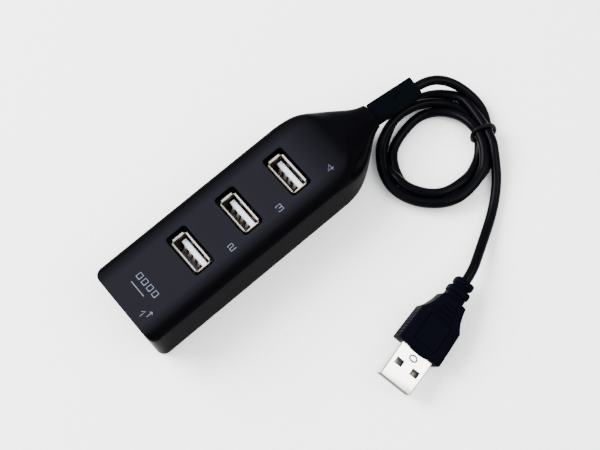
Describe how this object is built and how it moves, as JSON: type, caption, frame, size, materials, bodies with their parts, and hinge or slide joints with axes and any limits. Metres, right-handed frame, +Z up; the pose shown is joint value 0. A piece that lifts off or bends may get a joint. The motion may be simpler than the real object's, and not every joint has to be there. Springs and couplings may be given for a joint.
{
  "type": "usb hub",
  "caption": "Stick-shaped hub with upright receptacles in its top and one in its end, a tapered nose with a strain relief, a tied coil of cable and a type A plug.",
  "frame": {"origin": "centre of the housing's footprint on the table", "axes": "+X along the housing towards its cable, +Y across it, +Z up out of the receptacles in its top"},
  "size_m": [0.1357, 0.0921, 0.021],
  "materials": {
    "case_upper": "gloss black, satin on the flat top",
    "case_lower": "satin black",
    "board": "green solder mask",
    "chip_epoxy": "matt black epoxy",
    "tinned_copper": "tinned",
    "can_steel": "drawn steel can",
    "capacitor_sleeve": "dark sleeve",
    "ceramic": "tan ceramic",
    "resistor_black": "black with pale ends",
    "solder": "bright solder",
    "wire_red": "red insulation",
    "wire_white": "white insulation",
    "wire_green": "green insulation",
    "wire_black": "black insulation",
    "cable_jacket": "satin black jacket",
    "sleeve_rubber": "matt black",
    "tie_black": "black coated wire",
    "overmould": "fine matt texture",
    "plug_nickel": "bright nickel",
    "plug_insulator": "black moulding",
    "inner_moulding": "grey moulding",
    "contact_brass": "gold flash",
    "receptacle_steel": "bright tin plate",
    "receptacle_white": "white moulding"
  },
  "bodies": {
    "hub": {"upper_case": "case_upper", "lower_case": "case_lower", "circuit_board": "board", "hub_controller_chip": "chip_epoxy", "chip_leads": "tinned_copper", "crystal": "can_steel", "electrolytic_capacitors": "capacitor_sleeve", "chip_capacitors": "ceramic", "chip_resistors": "resistor_black", "receptacle_pins": "tinned_copper", "solder_joints": "solder", "wire_red": "wire_red", "wire_white": "wire_white", "wire_green": "wire_green", "wire_black": "wire_black", "cable_inner_end": "cable_jacket", "strain_relief": "sleeve_rubber", "cable_lead": "cable_jacket", "cable_coil": "cable_jacket", "cable_tail": "cable_jacket", "cable_tie": "tie_black", "cable_plug_end": "cable_jacket", "plug_overmould": "overmould", "plug_shell": "plug_nickel", "plug_insulator": "plug_insulator", "plug_contacts": "contact_brass", "plug_inner_moulding": "inner_moulding", "port_1_shell": "receptacle_steel", "port_1_insulator": "receptacle_white", "port_2_shell": "receptacle_steel", "port_2_insulator": "receptacle_white", "port_3_shell": "receptacle_steel", "port_3_insulator": "receptacle_white", "port_4_shell": "receptacle_steel", "port_4_insulator": "receptacle_white"},
    "port_1_leaves": {"port_1_contacts": "contact_brass"},
    "port_2_leaves": {"port_2_contacts": "contact_brass"},
    "port_3_leaves": {"port_3_contacts": "contact_brass"},
    "port_4_leaves": {"port_4_contacts": "contact_brass"}
  },
  "joints": [
    {"name": "port_1_contact_flex", "type": "hinge", "parent": "hub", "child": "port_1_leaves", "pos_m": [-0.0391, 0, 0.00962], "axis": [0, 1, 0], "range_deg": [0, 5], "stiffness_Nm_per_rad": 0.36},
    {"name": "port_2_contact_flex", "type": "hinge", "parent": "hub", "child": "port_2_leaves", "pos_m": [-0.02283, 0, 0.0091], "axis": [0, 1, 0], "range_deg": [0, 5], "stiffness_Nm_per_rad": 0.36},
    {"name": "port_3_contact_flex", "type": "hinge", "parent": "hub", "child": "port_3_leaves", "pos_m": [-0.00313, 0, 0.0091], "axis": [0, 1, 0], "range_deg": [0, 5], "stiffness_Nm_per_rad": 0.36},
    {"name": "port_4_contact_flex", "type": "hinge", "parent": "hub", "child": "port_4_leaves", "pos_m": [0.01657, 0, 0.0091], "axis": [0, 1, 0], "range_deg": [0, 5], "stiffness_Nm_per_rad": 0.36}
  ]
}
